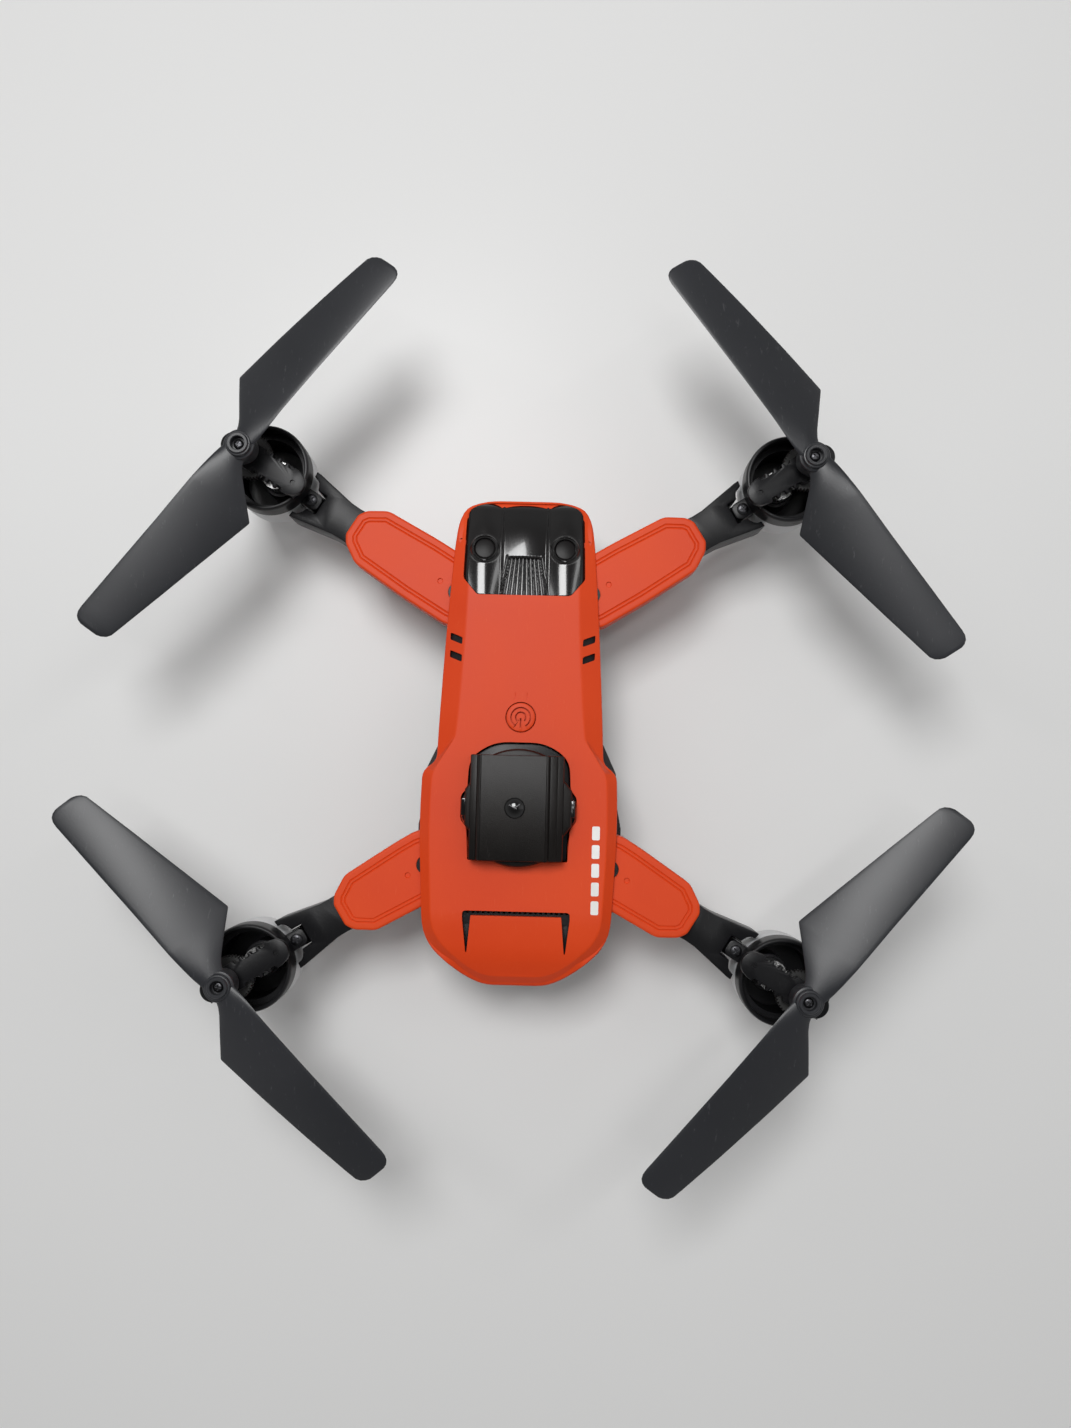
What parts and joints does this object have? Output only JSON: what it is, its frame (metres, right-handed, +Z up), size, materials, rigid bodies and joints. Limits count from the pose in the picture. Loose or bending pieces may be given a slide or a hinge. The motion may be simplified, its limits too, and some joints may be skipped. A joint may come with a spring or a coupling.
{
  "type": "foldable quadcopter drone",
  "caption": "Foldable toy quadcopter: flat orange fuselage with a black sensor head, swing-out arms, geared motor pods, rigid propellers, tilting camera and slide-in battery.",
  "frame": {"origin": "on the belly plane, under the middle of the four propeller hubs", "axes": "+Y towards the nose, +Z up through the roof, +X to the right-hand arms"},
  "size_m": [0.2515, 0.2587, 0.0536],
  "materials": {
    "orange_plastic": "matte moulded, faint sheen",
    "black_plastic": "satin moulded",
    "gloss_black": "polished",
    "grey_plastic": "fine matte texture",
    "propeller_plastic": "satin with hairline scuffs",
    "lamp_lens": "frosted translucent",
    "steel": "bright zinc",
    "dark_steel": "blackened",
    "brass": "machined",
    "nylon": "black nylon on a steel shaft",
    "board": "solder mask"
  },
  "bodies": {
    "fuselage": {"top_shell": "orange_plastic", "bottom_shell": "black_plastic", "nose_panel": "gloss_black", "nose_lamps": "gloss_black", "vent_screens": "black_plastic", "turret_housing": "grey_plastic", "turret_windows": "gloss_black", "main_board": "board", "flow_camera": "gloss_black", "case_screws": "steel"},
    "power_button": {"power_button": "orange_plastic"},
    "battery": {"battery_pack": "grey_plastic"},
    "camera": {"camera_pod": "black_plastic", "camera_lens": "gloss_black"},
    "front_left_arm": {"front_left_arm": "black_plastic", "front_left_cover": "orange_plastic", "front_left_pod": "black_plastic", "front_left_bridge": "black_plastic", "front_left_motor": "steel", "front_left_lamp": "lamp_lens", "front_left_fork_screw": "dark_steel"},
    "front_left_rotor": {"front_left_propeller": "propeller_plastic", "front_left_hub_screw": "dark_steel", "front_left_gear_shaft": "nylon"},
    "front_left_pinion": {"front_left_pinion": "brass"},
    "front_right_arm": {"front_right_arm": "black_plastic", "front_right_cover": "orange_plastic", "front_right_pod": "black_plastic", "front_right_bridge": "black_plastic", "front_right_motor": "steel", "front_right_lamp": "lamp_lens", "front_right_fork_screw": "dark_steel"},
    "front_right_rotor": {"front_right_propeller": "propeller_plastic", "front_right_hub_screw": "dark_steel", "front_right_gear_shaft": "nylon"},
    "front_right_pinion": {"front_right_pinion": "brass"},
    "rear_left_arm": {"rear_left_arm": "black_plastic", "rear_left_cover": "orange_plastic", "rear_left_pod": "black_plastic", "rear_left_bridge": "black_plastic", "rear_left_motor": "steel", "rear_left_lamp": "lamp_lens", "rear_left_fork_screw": "dark_steel"},
    "rear_left_rotor": {"rear_left_propeller": "propeller_plastic", "rear_left_hub_screw": "dark_steel", "rear_left_gear_shaft": "nylon"},
    "rear_left_pinion": {"rear_left_pinion": "brass"},
    "rear_right_arm": {"rear_right_arm": "black_plastic", "rear_right_cover": "orange_plastic", "rear_right_pod": "black_plastic", "rear_right_bridge": "black_plastic", "rear_right_motor": "steel", "rear_right_lamp": "lamp_lens", "rear_right_fork_screw": "dark_steel"},
    "rear_right_rotor": {"rear_right_propeller": "propeller_plastic", "rear_right_hub_screw": "dark_steel", "rear_right_gear_shaft": "nylon"},
    "rear_right_pinion": {"rear_right_pinion": "brass"}
  },
  "joints": [
    {"name": "front_left_fold", "type": "hinge", "parent": "fuselage", "child": "front_left_arm", "pos_m": [-0.01955, 0.03766, 0.027], "axis": [0, 0, 1], "range_deg": [0, 95]},
    {"name": "front_left_spin", "type": "hinge", "parent": "front_left_arm", "child": "front_left_rotor", "pos_m": [-0.08, 0.0747, 0.05], "axis": [0, 0, 1], "continuous": true},
    {"name": "front_left_pinion_spin", "type": "hinge", "parent": "front_left_arm", "child": "front_left_pinion", "pos_m": [-0.07335, 0.07062, 0.039], "axis": [0, 0, 1], "continuous": true},
    {"name": "front_right_fold", "type": "hinge", "parent": "fuselage", "child": "front_right_arm", "pos_m": [0.01955, 0.03766, 0.027], "axis": [0, 0, 1], "range_deg": [-95, 0]},
    {"name": "front_right_spin", "type": "hinge", "parent": "front_right_arm", "child": "front_right_rotor", "pos_m": [0.08, 0.0747, 0.05], "axis": [0, 0, 1], "continuous": true},
    {"name": "front_right_pinion_spin", "type": "hinge", "parent": "front_right_arm", "child": "front_right_pinion", "pos_m": [0.07335, 0.07062, 0.039], "axis": [0, 0, 1], "continuous": true},
    {"name": "rear_left_fold", "type": "hinge", "parent": "fuselage", "child": "rear_left_arm", "pos_m": [-0.02654, -0.04194, 0.027], "axis": [0, 0, 1], "range_deg": [-108, 0]},
    {"name": "rear_left_spin", "type": "hinge", "parent": "rear_left_arm", "child": "rear_left_rotor", "pos_m": [-0.08, -0.0747, 0.05], "axis": [0, 0, 1], "continuous": true},
    {"name": "rear_left_pinion_spin", "type": "hinge", "parent": "rear_left_arm", "child": "rear_left_pinion", "pos_m": [-0.07335, -0.07062, 0.039], "axis": [0, 0, 1], "continuous": true},
    {"name": "rear_right_fold", "type": "hinge", "parent": "fuselage", "child": "rear_right_arm", "pos_m": [0.02654, -0.04194, 0.027], "axis": [0, 0, 1], "range_deg": [0, 108]},
    {"name": "rear_right_spin", "type": "hinge", "parent": "rear_right_arm", "child": "rear_right_rotor", "pos_m": [0.08, -0.0747, 0.05], "axis": [0, 0, 1], "continuous": true},
    {"name": "rear_right_pinion_spin", "type": "hinge", "parent": "rear_right_arm", "child": "rear_right_pinion", "pos_m": [0.07335, -0.07062, 0.039], "axis": [0, 0, 1], "continuous": true},
    {"name": "button_press", "type": "slide", "parent": "fuselage", "child": "power_button", "axis": [0, 0, -1], "range_m": [0, 0.0008], "stiffness_N_per_m": 300},
    {"name": "battery_slide", "type": "slide", "parent": "fuselage", "child": "battery", "axis": [0, -1, 0], "range_m": [0, 0.07]},
    {"name": "camera_tilt", "type": "hinge", "parent": "fuselage", "child": "camera", "pos_m": [0, 0.056, 0.0114], "axis": [1, 0, 0], "range_deg": [-45, 15]}
  ],
  "couplings": [
    {"joint": "front_left_spin", "follows": "front_left_pinion_spin", "ratio": -0.2381},
    {"joint": "front_right_spin", "follows": "front_right_pinion_spin", "ratio": -0.2381},
    {"joint": "rear_left_spin", "follows": "rear_left_pinion_spin", "ratio": -0.2381},
    {"joint": "rear_right_spin", "follows": "rear_right_pinion_spin", "ratio": -0.2381}
  ]
}
